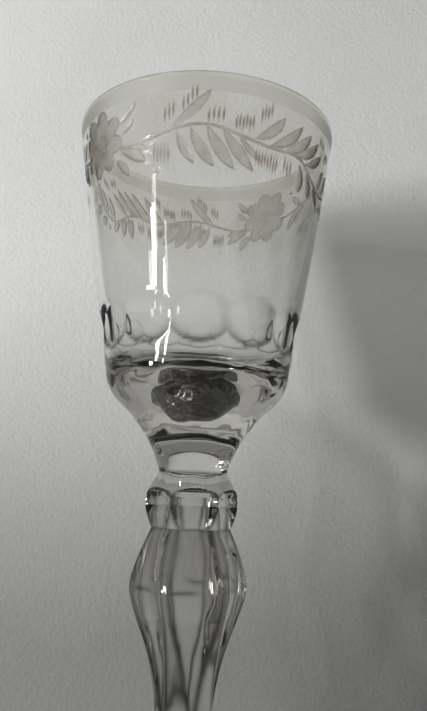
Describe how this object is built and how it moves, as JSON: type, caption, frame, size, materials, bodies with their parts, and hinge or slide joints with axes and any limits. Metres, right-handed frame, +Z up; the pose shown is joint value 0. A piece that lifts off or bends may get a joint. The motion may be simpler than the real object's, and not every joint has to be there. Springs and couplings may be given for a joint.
{
  "type": "engraved drinking glass",
  "caption": "Footed drinking glass: a tapering bowl with an engraved leaf border and ground lenses, on a cut knop, a faceted baluster stem and a wide round foot.",
  "frame": {"origin": "centre of the foot's resting ring, on the table plane", "axes": "+Z up along the turned axis to the rim, -Y towards the side seen in the picture"},
  "size_m": [0.08, 0.08, 0.205],
  "materials": {
    "clear_glass": "polished, with a matt engraved border under the rim"
  },
  "bodies": {
    "root": {"bowl": "clear_glass", "knop": "clear_glass", "baluster_stem": "clear_glass", "base_knop": "clear_glass", "foot": "clear_glass"}
  },
  "joints": []
}
